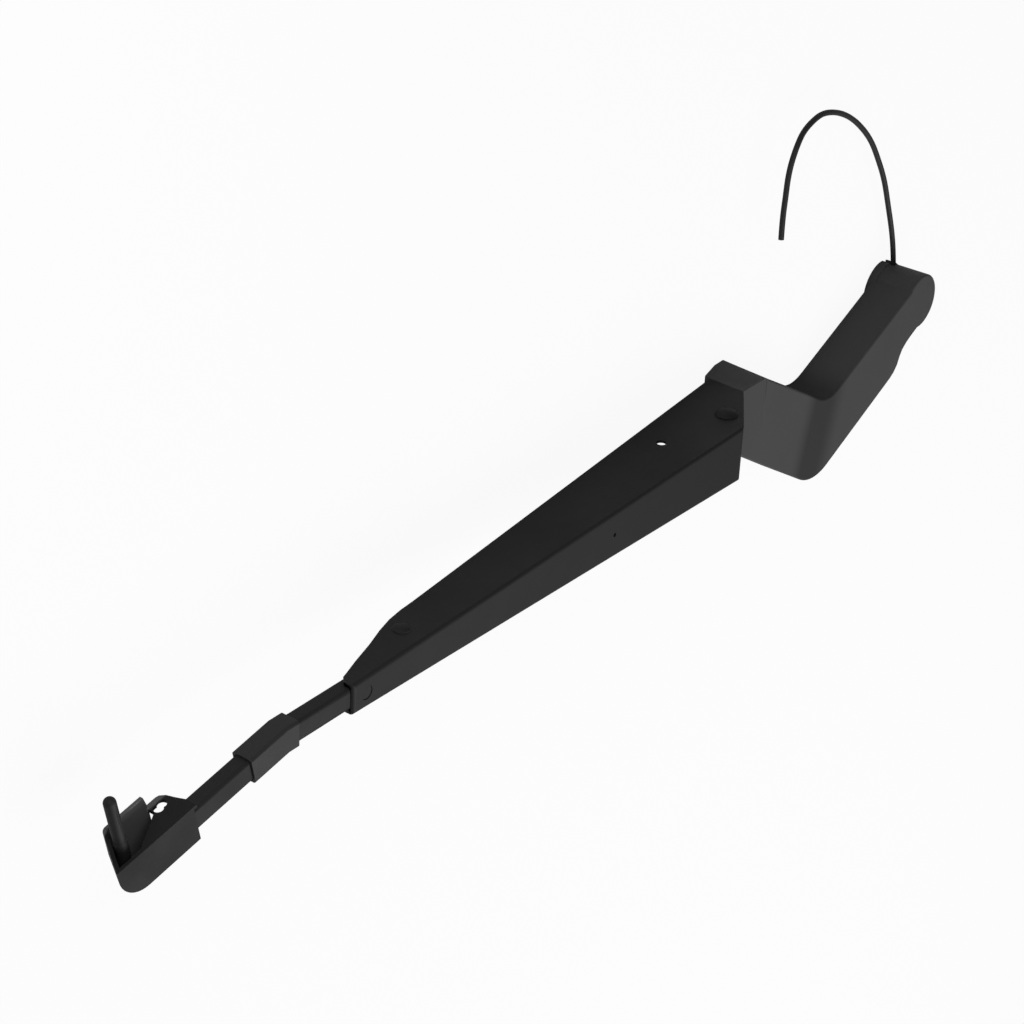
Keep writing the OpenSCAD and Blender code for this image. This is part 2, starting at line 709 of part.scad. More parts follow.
module washer_tube() { color(plastic) sweep(smooth(free_route, 2), tube_r); }
module tube_in_head() { color(plastic) sweep(head_route, tube_r); }
module tube_bridge() { color(plastic) sweep(bridge_route, tube_r); }
module tube_in_arm() { color(plastic) sweep(arm_route, tube_r); }

module tube_clips() {
    size = 2 * tube_r + 1.6;
    color(plastic)
    for (x = clip_places) {
        wall = arm_y + half_w(x) - sheet_t;
        difference() {
            translate([x - 3, wall - size - 0.3, web_z - sheet_t - size])
                cube([6, size, size]);
            translate([x - 3 - past, 12.6 - (x - 3 - past - 270) * 1.6 / 60, 38])
                rotate([0, 90, -1.53]) cylinder(r = tube_r + play, h = 6 + 2 * past);
        }
    }
}

// Places what is drawn along +X on the line from the anchor pin to the tail pin
module pull_line() {
    translate([anchor[0], arm_y, anchor[1]]) rotate([0, -pull_angle, 0]) children();
}

module spring_link() {
    color(steel)
    pull_line()
    translate([0, link_t / 2, 0]) rotate([90, 0, 0]) linear_extrude(height = link_t)
        difference() {
            union() {
                circle(r = eye_r);
                translate([0, -link_half]) square([link_len, 2 * link_half]);
                translate([link_len, 0]) circle(r = link_hole_r + 1.4);
            }
            circle(r = anchor_pin_r + play);
            translate([link_len, 0]) circle(r = link_hole_r);
        }
}

module tension_spring() {
    turns = floor((coil_end - coil_start) / spring_pitch);
    loop_len = stretch + 2 * (tail_pin_r + 0.3) + 0.6;
    loop_start = pull_len - tail_pin_r - 0.3;
    loop_end = loop_start + loop_len - loop_r + wire_r;
    color(steel)
    pull_line() {
        translate([coil_start, 0, 0]) rotate([0, 90, 0]) rotate_extrude()
            polygon(concat(
                [[coil_r - wire_r, 0]],
                [for (i = [0:turns - 1]) each [
                    [coil_r, i * spring_pitch],
                    [coil_r + wire_r, (i + 0.3) * spring_pitch],
                    [coil_r + wire_r, (i + 0.7) * spring_pitch]
                ]],
                [[coil_r, turns * spring_pitch], [coil_r - wire_r, turns * spring_pitch]]
            ));
        // Front eye, through the link's hole
        translate([link_len + front_eye_r, 0, 0])
            rotate_extrude() translate([front_eye_r, 0]) circle(r = wire_r, $fn = 24);
        // Long rear loop round the tail pin
        for (side = [-1, 1])
            translate([coil_start + turns * spring_pitch - 2, 0, side * loop_r]) rotate([0, 90, 0])
                cylinder(r = wire_r, h = loop_end - coil_start - turns * spring_pitch + 2, $fn = 24);
        translate([loop_end, 0, 0]) rotate([90, 0, 0]) rotate([0, 0, -90])
            rotate_extrude(angle = 180) translate([loop_r, 0]) circle(r = wire_r, $fn = 24);
    }
}

mounting_head();
spindle_insert();
nut_cover();
hinge_bush_near();
hinge_bush_far();
anchor_pin();
tube_in_head();
washer_tube();
channel();
hinge_pin();
tail_pin();
arm_bar();
bar_rivet();
nozzle_sleeve();
blade_holder();
blade_pin();
tube_in_arm();
tube_bridge();
tube_clips();
spring_link();
tension_spring();
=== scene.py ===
"""Looks of the wiper arm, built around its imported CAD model. Laid out as an add-on."""

import math

import bmesh
import bpy
from bpy.props import FloatProperty, FloatVectorProperty, PointerProperty
from mathutils import Matrix, Vector
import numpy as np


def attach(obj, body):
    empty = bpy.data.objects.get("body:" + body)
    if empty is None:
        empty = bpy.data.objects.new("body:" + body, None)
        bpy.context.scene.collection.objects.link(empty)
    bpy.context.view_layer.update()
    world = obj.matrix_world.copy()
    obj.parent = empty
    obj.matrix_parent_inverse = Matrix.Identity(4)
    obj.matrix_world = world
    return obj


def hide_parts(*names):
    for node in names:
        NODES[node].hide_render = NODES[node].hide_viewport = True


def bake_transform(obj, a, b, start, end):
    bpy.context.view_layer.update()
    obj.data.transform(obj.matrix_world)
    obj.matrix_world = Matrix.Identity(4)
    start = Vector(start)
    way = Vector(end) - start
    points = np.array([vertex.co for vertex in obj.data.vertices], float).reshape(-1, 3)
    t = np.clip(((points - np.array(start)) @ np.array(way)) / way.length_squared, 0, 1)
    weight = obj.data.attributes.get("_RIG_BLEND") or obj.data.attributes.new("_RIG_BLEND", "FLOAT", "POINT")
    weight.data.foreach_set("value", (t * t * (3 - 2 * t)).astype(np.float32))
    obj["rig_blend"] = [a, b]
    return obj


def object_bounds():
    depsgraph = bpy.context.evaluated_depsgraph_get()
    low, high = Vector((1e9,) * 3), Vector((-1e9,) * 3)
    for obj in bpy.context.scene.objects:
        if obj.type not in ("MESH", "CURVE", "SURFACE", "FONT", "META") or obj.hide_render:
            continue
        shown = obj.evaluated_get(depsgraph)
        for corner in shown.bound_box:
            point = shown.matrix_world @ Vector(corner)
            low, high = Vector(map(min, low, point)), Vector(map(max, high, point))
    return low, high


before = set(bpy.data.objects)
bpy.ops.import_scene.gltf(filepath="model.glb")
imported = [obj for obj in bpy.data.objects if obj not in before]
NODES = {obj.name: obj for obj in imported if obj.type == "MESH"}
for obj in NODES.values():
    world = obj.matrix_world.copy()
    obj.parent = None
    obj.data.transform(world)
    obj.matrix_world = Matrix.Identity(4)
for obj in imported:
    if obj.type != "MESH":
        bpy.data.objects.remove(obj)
CAD_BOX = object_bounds()

bl_info = {
    "name": "Wiper arm",
    "version": (1, 0, 0),
    "blender": (4, 5, 0),
    "location": "3D View > Sidebar > Wiper Arm",
    "description": "Builds the painted head, channel, bar and blade holder of a wiper arm",
    "category": "Object",
}

MM = 0.001

# Places and sizes in the part's frame, in millimetres, as the part's source has them
ARM_Y = 4.5
ANCHOR = Vector((188.5, ARM_Y, 18.0))
TAIL = Vector((414.3, ARM_Y, 29.5))
TAIL_PIN_RADIUS = 2.0
LINK_LENGTH = 40.0
SPRING_TRAVEL = 9.5
SPRING_STEPS = 16
WEB_START, WEB_END = 192.2, 455.8
WEB_TOP = 41.0
WEB_HALF_AT_HINGE, WEB_HALF_AT_BAR = 13.4, 6.75
HEAD_TOP = 22.7
HEAD_TOP_END = 162.6
COVER_SEAT_RADIUS, COVER_SEAT_LOW = 10.5, 12
TUBE_DIAMETER = 2.7

# How far off a plane or a fold a corner may lie and still count as on it, in millimetres
PLANE_SLACK = 0.05
FOLD_SLACK = 0.1

# Cleaning of a copied mesh, in metres: corners closer than this are one, thinner faces go
MERGE_GAP = 0.00001
SLIVER_WIDTH = 0.00004
FLAT_ANGLE = math.radians(1.0)
TUBE_SMOOTH_ANGLE = math.radians(60)

# Given points of the free washer tube, in millimetres.
TUBE_ROUTE = [
    (-3, -12.4, 3), (-2, -17, 3), (2, -26, 4), (8, -38, 5), (15, -53, 5), (23, -68, 6),
    (32, -81, 6), (42, -93, 7), (54, -103, 8), (65, -111, 8), (77, -117, 9), (88, -121, 10),
    (98, -123, 10), (107.4, -122, 11), (115, -119, 11), (120.8, -114, 12), (124.4, -107, 12),
    (126.2, -99, 12), (128, -91, 13), (129, -82, 13), (130, -72, 14),
]

# Camera of the photograph, fitted to its parallel edges
CAMERA_PLACE = Vector((1046.59, -514.95, 549.10)) * MM
CAMERA_RIGHT = Vector((-0.61323, -0.03965, 0.78891))
CAMERA_UP = Vector((-0.36503, -0.87147, -0.32755))
CAMERA_FORWARD = Vector((-0.70050, 0.48884, -0.51994))
CAMERA_LENS = 87.89
CAMERA_SENSOR = 36.0

# Stage, in metres: the floor's tone, and the share of plain white that the camera sees in it
FLOOR_SIZE = 6
FLOOR_X = 0.25
FLOOR_DROP = 0.0005
FLOOR_TONE = (0.65, 0.65, 0.65, 1)
FLOOR_WHITE_SHARE = 0.93
WHITE = (1, 1, 1, 1)
ROOM_LIGHT = 0.19

# Square lamps: name, place, power in watts, width, and the point that they face
LAMPS = (
    ("Key", (0.2, 0.7, 1.1), 16.5, 1.2, (0.28, 0, 0.02)),
    ("Fill", (1.1, -0.8, 0.5), 1.2, 0.6, (0.28, 0, 0.02)),
    ("Tip fill", (0.7, -0.35, 0.32), 0.8, 0.25, (0.57, 0, 0.03)),
)


# Shared helpers


def only(piece):
    """Makes a piece the one selected, active object."""
    if bpy.context.object and bpy.context.object.mode != "OBJECT":
        bpy.ops.object.mode_set(mode="OBJECT")
    bpy.ops.object.select_all(action="DESELECT")
    piece.select_set(True)
    bpy.context.view_layer.objects.active = piece


def node_copy(node, name):
    """A clean copy of a CAD node's mesh, merged and with its flat faces whole."""
    piece = bpy.data.objects.new(name, NODES[node].data.copy())
    piece.data.materials.clear()
    bpy.context.collection.objects.link(piece)
    only(piece)
    bpy.ops.object.mode_set(mode="EDIT")
    bpy.ops.mesh.select_all(action="SELECT")
    bpy.ops.mesh.remove_doubles(threshold=MERGE_GAP)
    bpy.ops.mesh.dissolve_degenerate(threshold=SLIVER_WIDTH)
    bpy.ops.mesh.dissolve_limited(angle_limit=FLAT_ANGLE)
    bpy.ops.object.mode_set(mode="OBJECT")
    return piece


def is_sharp(edge, angle):
    """Whether the two faces at an edge turn by more than an angle in degrees."""
    return len(edge.link_faces) == 2 and edge.calc_face_angle() > math.radians(angle)


def both_ends(edge, test):
    """Whether both ends of an edge pass a test of their place, in millimetres."""
    return all(test(end.co / MM) for end in edge.verts)


def bevel_where(piece, width, test, segments=4, angle=25):
    """Rounds the sharp edges whose two ends pass a test of their place; the width is in metres."""
    only(piece)
    mesh = bmesh.new()
    mesh.from_mesh(piece.data)
    for face in mesh.faces:
        face.select = False
    for edge in mesh.edges:
        edge.select = is_sharp(edge, angle) and both_ends(edge, test)
    mesh.select_mode = {"EDGE"}
    mesh.to_mesh(piece.data)
    mesh.free()
    bpy.context.tool_settings.mesh_select_mode = (False, True, False)
    bpy.ops.object.mode_set(mode="EDIT")
    bpy.ops.mesh.bevel(offset=width, offset_pct=0, segments=segments, profile=0.5,
                       clamp_overlap=True, loop_slide=False)
    bpy.ops.object.mode_set(mode="OBJECT")


def ease_edges(piece, width, segments=2, angle=32, keep=None):
    """Breaks the sharp edges by a width in millimetres, except where keep holds, and smooths."""
    only(piece)
    mesh = bmesh.new()
    mesh.from_mesh(piece.data)
    layers = mesh.edges.layers.float
    weight = layers.get("bevel_weight_edge") or layers.new("bevel_weight_edge")
    for edge in mesh.edges:
        kept = keep is not None and both_ends(edge, keep)
        edge[weight] = 1.0 if is_sharp(edge, angle) and not kept else 0.0
    mesh.to_mesh(piece.data)
    mesh.free()
    bevel = piece.modifiers.new("eased edges", "BEVEL")
    bevel.width = width * MM
    bevel.segments = segments
    bevel.limit_method = "WEIGHT"
    bevel.use_clamp_overlap = False
    bevel.loop_slide = False
    bevel.harden_normals = False
    bpy.ops.object.modifier_apply(modifier=bevel.name)
    bpy.ops.object.shade_smooth_by_angle(angle=math.radians(angle))
    normals = piece.modifiers.new("flat faces stay flat", "WEIGHTED_NORMAL")
    normals.keep_sharp = True
    normals.weight = 100
    bpy.ops.object.modifier_apply(modifier=normals.name)


def settle(piece, body, slot, material, *replaced):
    """Gives a finished piece its material, its body and the CAD nodes that it stands for."""
    piece.data.materials.clear()
    piece.data.materials.append(material)
    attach(piece, body)
    if replaced:
        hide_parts(*replaced)
    return piece


# Materials


def socket(group, name, kind, direction, value=None):
    """Adds a named input or output to a node group."""
    made = group.interface.new_socket(name=name, in_out=direction, socket_type=kind)
    if value is not None:
        made.default_value = value
    return made


def map_range(nodes, from_low, from_high, to_low=0.0, to_high=1.0, smooth=False):
    """Adds a node that maps one range of a value onto another."""
    made = nodes.new("ShaderNodeMapRange")
    if smooth:
        made.interpolation_type = "SMOOTHSTEP"
    made.inputs["From Min"].default_value = from_low
    made.inputs["From Max"].default_value = from_high
    made.inputs["To Min"].default_value = to_low
    made.inputs["To Max"].default_value = to_high
    return made


def colour_mix(nodes, first=None, second=None):
    """Adds a node that mixes two colours."""
    made = nodes.new("ShaderNodeMix")
    made.data_type = "RGBA"
    if first is not None:
        made.inputs["A"].default_value = (*first, 1)
    if second is not None:
        made.inputs["B"].default_value = (*second, 1)
    return made


def paint_grain_group():
    """Fine ripple and soft blotches of a paint coat: a height and a mask."""
    if "Paint grain" in bpy.data.node_groups:
        return bpy.data.node_groups["Paint grain"]
    group = bpy.data.node_groups.new("Paint grain", "ShaderNodeTree")
    socket(group, "Grain scale", "NodeSocketFloat", "INPUT", 900.0)
    socket(group, "Blotch scale", "NodeSocketFloat", "INPUT", 40.0)
    socket(group, "Height", "NodeSocketFloat", "OUTPUT")
    socket(group, "Blotch", "NodeSocketFloat", "OUTPUT")
    nodes, links = group.nodes, group.links
    come, go = nodes.new("NodeGroupInput"), nodes.new("NodeGroupOutput")
    place = nodes.new("ShaderNodeTexCoord")
    fine, wide = nodes.new("ShaderNodeTexNoise"), nodes.new("ShaderNodeTexNoise")
    fine.inputs["Detail"].default_value = 3.0
    wide.inputs["Detail"].default_value = 4.0
    wide.inputs["Roughness"].default_value = 0.6
    links.new(place.outputs["Object"], fine.inputs["Vector"])
    links.new(place.outputs["Object"], wide.inputs["Vector"])
    links.new(come.outputs["Grain scale"], fine.inputs["Scale"])
    links.new(come.outputs["Blotch scale"], wide.inputs["Scale"])
    links.new(fine.outputs["Fac"], go.inputs["Height"])
    links.new(wide.outputs["Fac"], go.inputs["Blotch"])
    return group


def edge_rub_group():
    """Mask that is 1 where a surface turns sharply, broken up by noise."""
    if "Edge rub" in bpy.data.node_groups:
        return bpy.data.node_groups["Edge rub"]
    group = bpy.data.node_groups.new("Edge rub", "ShaderNodeTree")
    socket(group, "Radius", "NodeSocketFloat", "INPUT", 0.0006)
    socket(group, "Rub", "NodeSocketFloat", "OUTPUT")
    nodes, links = group.nodes, group.links
    come, go = nodes.new("NodeGroupInput"), nodes.new("NodeGroupOutput")
    rounded, plain = nodes.new("ShaderNodeBevel"), nodes.new("ShaderNodeNewGeometry")
    rounded.samples = 6
    facing = nodes.new("ShaderNodeVectorMath")
    facing.operation = "DOT_PRODUCT"
    spread = map_range(nodes, 0.985, 0.86)
    noise, place = nodes.new("ShaderNodeTexNoise"), nodes.new("ShaderNodeTexCoord")
    noise.inputs["Scale"].default_value = 160.0
    noise.inputs["Detail"].default_value = 5.0
    broken = map_range(nodes, 0.42, 0.62)
    product = nodes.new("ShaderNodeMath")
    product.operation = "MULTIPLY"
    links.new(come.outputs["Radius"], rounded.inputs["Radius"])
    links.new(rounded.outputs["Normal"], facing.inputs[0])
    links.new(plain.outputs["Normal"], facing.inputs[1])
    links.new(facing.outputs["Value"], spread.inputs["Value"])
    links.new(place.outputs["Object"], noise.inputs["Vector"])
    links.new(noise.outputs["Fac"], broken.inputs["Value"])
    links.new(spread.outputs["Result"], product.inputs[0])
    links.new(broken.outputs["Result"], product.inputs[1])
    links.new(product.outputs["Value"], go.inputs["Rub"])
    return group


def finish_material(name, dark, light, rub, rough, ripple, grain_scale, blotch_scale,
                    metallic=0.0, gloss=0.2):
    """A procedural finish: two tones in soft blotches, rubbed edges and a fine ripple."""
    if name in bpy.data.materials:
        return bpy.data.materials[name]
    material = bpy.data.materials.new(name)
    material.use_nodes = True
    nodes, links = material.node_tree.nodes, material.node_tree.links
    shader = nodes["Principled BSDF"]
    shader.inputs["Metallic"].default_value = metallic
    shader.inputs["Specular IOR Level"].default_value = gloss
    grain, edge = nodes.new("ShaderNodeGroup"), nodes.new("ShaderNodeGroup")
    grain.node_tree, edge.node_tree = paint_grain_group(), edge_rub_group()
    grain.inputs["Grain scale"].default_value = grain_scale
    grain.inputs["Blotch scale"].default_value = blotch_scale
    tone, worn = colour_mix(nodes, dark, light), colour_mix(nodes, second=rub)
    sheen = map_range(nodes, 0.3, 0.7, rough - 0.05, rough + 0.07)
    bump = nodes.new("ShaderNodeBump")
    bump.inputs["Strength"].default_value = ripple
    bump.inputs["Distance"].default_value = 0.0001
    links.new(grain.outputs["Blotch"], tone.inputs["Factor"])
    links.new(tone.outputs["Result"], worn.inputs["A"])
    links.new(edge.outputs["Rub"], worn.inputs["Factor"])
    links.new(worn.outputs["Result"], shader.inputs["Base Color"])
    links.new(grain.outputs["Blotch"], sheen.inputs["Value"])
    links.new(sheen.outputs["Result"], shader.inputs["Roughness"])
    links.new(grain.outputs["Height"], bump.inputs["Height"])
    links.new(bump.outputs["Normal"], shader.inputs["Normal"])
    return material


def scale_tone(material, value):
    """Multiplies a finish's colour by a value that changes over the surface."""
    nodes, links = material.node_tree.nodes, material.node_tree.links
    shader, scaled = nodes["Principled BSDF"], nodes.new("ShaderNodeVectorMath")
    scaled.operation = "SCALE"
    links.new(shader.inputs["Base Color"].links[0].from_socket, scaled.inputs[0])
    links.new(value, scaled.inputs["Scale"])
    links.new(scaled.outputs["Vector"], shader.inputs["Base Color"])


def place_parts(nodes, links):
    """Adds the nodes that split a point's place on the piece into X, Y and Z, in metres."""
    place, parts = nodes.new("ShaderNodeTexCoord"), nodes.new("ShaderNodeSeparateXYZ")
    links.new(place.outputs["Object"], parts.inputs["Vector"])
    return parts


def head_finish(name):
    """A material of the given name with the head's tone and grain."""
    look = bpy.context.scene.wiper_looks
    return finish_material(name, look.head_tone, [1.25 * v for v in look.head_tone],
                           rub=(0.09, 0.09, 0.09), rough=look.head_roughness, ripple=0.35,
                           grain_scale=420.0, blotch_scale=22.0)


def cast_paint():
    """Head paint with painted shade: a little darker in a soft band across the top of the crank."""
    known = "Cast head paint with painted shade" in bpy.data.materials
    material = head_finish("Cast head paint with painted shade")
    if known:
        return material
    nodes, links = material.node_tree.nodes, material.node_tree.links
    parts = place_parts(nodes, links)
    # The painted shade band runs slightly askew across the head; gap is how far a point lies past its
    # darkest line, in metres
    askew, darkest_line = -0.25, 0.0775
    across, gap, shade = (nodes.new("ShaderNodeMath") for _ in range(3))
    across.operation, gap.operation, shade.operation = "MULTIPLY_ADD", "SUBTRACT", "MAXIMUM"
    across.inputs[1].default_value = askew
    gap.inputs[1].default_value = darkest_line
    before = map_range(nodes, -0.018, 0.0, 1.0, 0.5, smooth=True)
    behind = map_range(nodes, 0.001, 0.026, 0.0, 1.0, smooth=True)
    links.new(parts.outputs["Y"], across.inputs[0])
    links.new(parts.outputs["X"], across.inputs[2])
    links.new(across.outputs["Value"], gap.inputs[0])
    for number, side in enumerate((before, behind)):
        links.new(gap.outputs["Value"], side.inputs["Value"])
        links.new(side.outputs["Result"], shade.inputs[number])
    # The band darkens the colour itself: painted shade in place of the shading across the crank
    scale_tone(material, shade.outputs["Value"])
    return material


def sheet_finish(name, dark_share, light_share, rub, blotch_scale):
    """A material of the given name with the sheet's grain, in two shades of the sheet's tone."""
    look = bpy.context.scene.wiper_looks
    dark, light = ([share * v for v in look.sheet_tone] for share in (dark_share, light_share))
    return finish_material(name, dark, light, rub=rub, rough=look.sheet_roughness, ripple=0.2,
                           grain_scale=700.0, blotch_scale=blotch_scale)


def sheet_paint():
    """Paint of the channel, the bar and the painted pins."""
    return sheet_finish("Sheet paint", 1.0, 1.3, (0.055, 0.055, 0.055), 26.0)


def holder_paint_with_painted_light():
    """Paint of the blade holder, with painted light on the back plate low down, which sits in shade, and
    darker above it.
    """
    known = "Holder paint with painted light" in bpy.data.materials
    material = sheet_finish("Holder paint with painted light", 0.75, 1.0, (0.05, 0.05, 0.05), 40.0)
    if known:
        return material
    nodes, links = material.node_tree.nodes, material.node_tree.links
    parts = place_parts(nodes, links)
    # Painted light: low down the back plate's colour is made eight times lighter in place of light that the
    # lamps don't bring into the holder; above it the colour is scaled to 0.6
    plate_height, wall_height = 0.0279, 0.0292
    plate_light_share, wall_share = 8.0, 0.6
    low = map_range(nodes, plate_height, wall_height, plate_light_share, wall_share, smooth=True)
    links.new(parts.outputs["Z"], low.inputs["Value"])
    scale_tone(material, low.outputs["Result"])
    return material


def bare_steel():
    """Steel of the link, the anchor pin and the spindle insert."""
    return finish_material("Bare steel", (0.42, 0.42, 0.43), (0.5, 0.5, 0.51),
                           rub=(0.6, 0.6, 0.6), rough=0.36, ripple=0.2,
                           grain_scale=900.0, blotch_scale=60.0, metallic=1.0)


def spring_steel():
    """Darker steel of the wound spring."""
    return finish_material("Spring steel", (0.16, 0.16, 0.165), (0.24, 0.24, 0.245),
                           rub=(0.4, 0.4, 0.4), rough=0.42, ripple=0.2,
                           grain_scale=900.0, blotch_scale=80.0, metallic=1.0)


def black_plastic():
    """Plastic of the sleeve, the bushes and the clips."""
    return finish_material("Moulded black plastic", (0.018, 0.018, 0.019), (0.026, 0.026, 0.027),
                           rub=(0.05, 0.05, 0.05), rough=0.5, ripple=0.3,
                           grain_scale=1400.0, blotch_scale=60.0)


def cap_plastic():
    """Plastic of the spindle cover, in the head's tone."""
    return head_finish("Cap plastic")


def tube_rubber():
    """Rubber of the washer tube."""
    return finish_material("Tube rubber", (0.016, 0.016, 0.017), (0.026, 0.026, 0.027),
                           rub=(0.04, 0.04, 0.04), rough=0.55, ripple=0.25,
                           grain_scale=1800.0, blotch_scale=90.0)


# The user's sizes and tones


class WiperLooks(bpy.types.PropertyGroup):
    """Tones and edge roundings that the maker of a scene may change."""

    head_tone: FloatVectorProperty(
        name="Head tone", description="Colour of the cast head's paint",
        default=(0.05, 0.05, 0.05), subtype="COLOR", min=0, max=1)
    head_roughness: FloatProperty(
        name="Head roughness", description="Roughness of the cast head's paint",
        default=0.6, min=0.1, max=0.9, subtype="FACTOR")
    sheet_tone: FloatVectorProperty(
        name="Sheet tone", description="Colour of the paint on channel, bar and blade holder",
        default=(0.0115, 0.0115, 0.0115), subtype="COLOR", min=0, max=1)
    sheet_roughness: FloatProperty(
        name="Sheet roughness",
        description="Roughness of the paint on channel, bar and blade holder",
        default=0.6, min=0.1, max=0.9, subtype="FACTOR")
    head_round: FloatProperty(
        name="Head rounding", description="Radius along the head's top edges",
        default=1.6 * MM, min=0.4 * MM, max=2.5 * MM, precision=4, unit="LENGTH")
    fold_round: FloatProperty(
        name="Fold rounding", description="Outer radius of the channel's folds",
        default=1.8 * MM, min=0.6 * MM, max=2.4 * MM, precision=4, unit="LENGTH")


# Operators, one for each piece or group of like pieces


class WIPER_OT_camera(bpy.types.Operator):
    """Place the photograph's camera"""

    bl_idname = "wiper.camera"
    bl_label = "Camera"

    def execute(self, context):
        data = bpy.data.cameras.new("Camera")
        data.lens = CAMERA_LENS
        data.sensor_width = CAMERA_SENSOR
        data.clip_start = 0.01
        camera = bpy.data.objects.new("Camera", data)
        context.collection.objects.link(camera)
        turn = Matrix((CAMERA_RIGHT, CAMERA_UP, -CAMERA_FORWARD)).transposed()
        camera.matrix_world = Matrix.Translation(CAMERA_PLACE) @ turn.to_4x4()
        context.scene.camera = camera
        return {"FINISHED"}


class WIPER_OT_free_tube(bpy.types.Operator):
    """Lay the free washer tube from the boss in its open arch"""

    bl_idname = "wiper.free_tube"
    bl_label = "Free washer tube"

    def execute(self, context):
        curve = bpy.data.curves.new("washer_hose", "CURVE")
        curve.dimensions = "3D"
        spline = curve.splines.new("NURBS")
        spline.points.add(len(TUBE_ROUTE) - 1)
        for point, place in zip(spline.points, TUBE_ROUTE):
            point.co = (*(Vector(place) * MM), 1.0)
        spline.order_u = 4
        spline.use_endpoint_u = True
        spline.resolution_u = 8
        curve.bevel_depth = TUBE_DIAMETER / 2 * MM
        curve.bevel_resolution = 5
        curve.use_fill_caps = True
        hose = bpy.data.objects.new("washer_hose", curve)
        context.collection.objects.link(hose)
        settle(hose, "head", "tube_rubber", tube_rubber(), "washer_tube")
        return {"FINISHED"}


class WIPER_OT_head(bpy.types.Operator):
    """Build the cranked cast head with rounded top edges"""

    bl_idname = "wiper.head"
    bl_label = "Cast head"

    def execute(self, context):
        look = context.scene.wiper_looks
        head = node_copy("mounting_head", "cast_head")

        def outer_top(p):
            on_top = abs(p.z - HEAD_TOP) < PLANE_SLACK and p.x < HEAD_TOP_END
            return on_top and p.xy.length > COVER_SEAT_RADIUS

        def cover_seat(p):
            return p.xy.length < COVER_SEAT_RADIUS and p.z > COVER_SEAT_LOW

        bevel_where(head, look.head_round, outer_top, segments=5)
        ease_edges(head, width=0.3, keep=cover_seat)
        settle(head, "head", "cast_paint", cast_paint(), "mounting_head")
        return {"FINISHED"}


class WIPER_OT_channel(bpy.types.Operator):
    """Build the folded channel with round folds"""

    bl_idname = "wiper.channel"
    bl_label = "Folded channel"

    def execute(self, context):
        look = context.scene.wiper_looks
        channel = node_copy("channel", "folded_channel")

        def outer_fold(p):
            along = (p.x - WEB_START) / (WEB_END - WEB_START)
            half = WEB_HALF_AT_HINGE + along * (WEB_HALF_AT_BAR - WEB_HALF_AT_HINGE)
            on_fold = abs(abs(p.y - ARM_Y) - half) < FOLD_SLACK
            return abs(p.z - WEB_TOP) < PLANE_SLACK and on_fold

        bevel_where(channel, look.fold_round, outer_fold, segments=5)
        ease_edges(channel, width=0.22)
        settle(channel, "arm", "sheet_paint", sheet_paint(), "channel")
        return {"FINISHED"}


class WIPER_OT_bar(bpy.types.Operator):
    """Build the slightly bent bar with eased edges"""

    bl_idname = "wiper.bar"
    bl_label = "Arm bar"

    def execute(self, context):
        bar = node_copy("arm_bar", "bent_bar")
        ease_edges(bar, width=0.5, segments=3, angle=30)
        settle(bar, "arm", "sheet_paint", sheet_paint(), "arm_bar")
        return {"FINISHED"}


class WIPER_OT_holder(bpy.types.Operator):
    """Build the folded blade holder and its side pin"""

    bl_idname = "wiper.holder"
    bl_label = "Blade holder and pin"

    def execute(self, context):
        holder = node_copy("blade_holder", "clip_holder")
        ease_edges(holder, width=0.25, angle=38)
        settle(holder, "arm", "sheet_paint", holder_paint_with_painted_light(), "blade_holder")
        pin = node_copy("blade_pin", "side_pin")
        ease_edges(pin, width=0.15)
        settle(pin, "arm", "sheet_paint", sheet_paint(), "blade_pin")
        return {"FINISHED"}


class WIPER_OT_sleeve(bpy.types.Operator):
    """Build the moulded nozzle sleeve on the bar"""

    bl_idname = "wiper.sleeve"
    bl_label = "Nozzle sleeve"

    def execute(self, context):
        sleeve = node_copy("nozzle_sleeve", "jet_sleeve")
        ease_edges(sleeve, width=0.3, segments=3)
        settle(sleeve, "arm", "black_plastic", black_plastic(), "nozzle_sleeve")
        return {"FINISHED"}


class WIPER_OT_fasteners(bpy.types.Operator):
    """Build the pins, bushes, rivet, cover, insert and clips"""

    bl_idname = "wiper.fasteners"
    bl_label = "Pins, bushes and small pieces"

    def execute(self, context):
        small = [
            ("hinge_pin", "fold_pin", "arm", "sheet_paint", sheet_paint, 0.2),
            ("tail_pin", "spring_pin", "arm", "sheet_paint", sheet_paint, 0.15),
            ("bar_rivet", "root_rivet", "arm", "sheet_paint", sheet_paint, 0.15),
            ("tube_clips", "hose_clips", "arm", "black_plastic", black_plastic, 0.15),
            ("anchor_pin", "pull_pin", "head", "bare_steel", bare_steel, 0.2),
            ("spindle_insert", "spindle_socket", "head", "bare_steel", bare_steel, 0.3),
            ("nut_cover", "spindle_cap", "head", "black_plastic", cap_plastic, 0.04),
            ("hinge_bush_near", "bush_near", "head", "black_plastic", black_plastic, 0.12),
            ("hinge_bush_far", "bush_far", "head", "black_plastic", black_plastic, 0.12),
            ("spring_link", "pull_link", "spring_linkage", "bare_steel", bare_steel, 0.2),
        ]
        for node, name, body, slot, material, width in small:
            piece = node_copy(node, name)
            ease_edges(piece, width=width)
            settle(piece, body, slot, material(), node)
        return {"FINISHED"}


